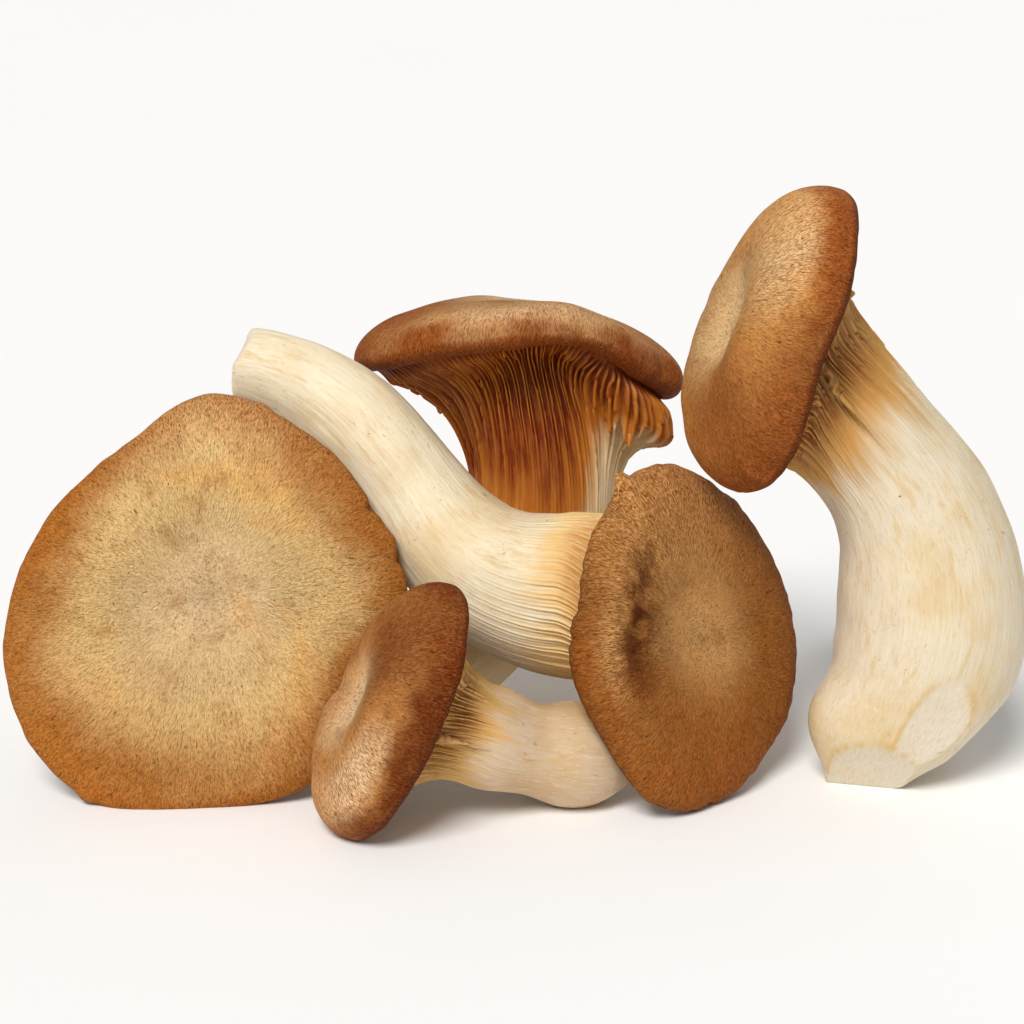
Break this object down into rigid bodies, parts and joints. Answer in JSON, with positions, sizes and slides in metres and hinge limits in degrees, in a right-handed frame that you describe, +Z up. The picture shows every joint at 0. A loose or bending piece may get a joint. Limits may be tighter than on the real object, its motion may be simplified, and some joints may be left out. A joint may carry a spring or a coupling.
{
  "type": "king oyster mushroom cluster",
  "caption": "Heap of cut king oyster mushrooms leaning on each other: thick cream stems flare through running gills into rolled brown caps, resting on a flat surface.",
  "frame": {"origin": "middle of the heap's footprint, on the surface that it rests on", "axes": "+Z up; +X along the heap, from the large cap's end to the curved stem's end; the large cap's face looks along -Y"},
  "size_m": [0.2116, 0.1164, 0.1237],
  "materials": {
    "cap_skin": "matt brown skin with fine dark fibres that run out from the middle",
    "flesh": "matt cream flesh with fine lengthwise fibres, and amber between the gills"
  },
  "bodies": {
    "root": {"large_cap": "cap_skin", "large_gilled_stem": "flesh", "diagonal_cap": "cap_skin", "diagonal_gilled_stem": "flesh", "upright_cap": "cap_skin", "upright_gilled_stem": "flesh", "curved_cap": "cap_skin", "curved_gilled_stem": "flesh", "small_cap": "cap_skin", "small_gilled_stem": "flesh"}
  },
  "joints": []
}
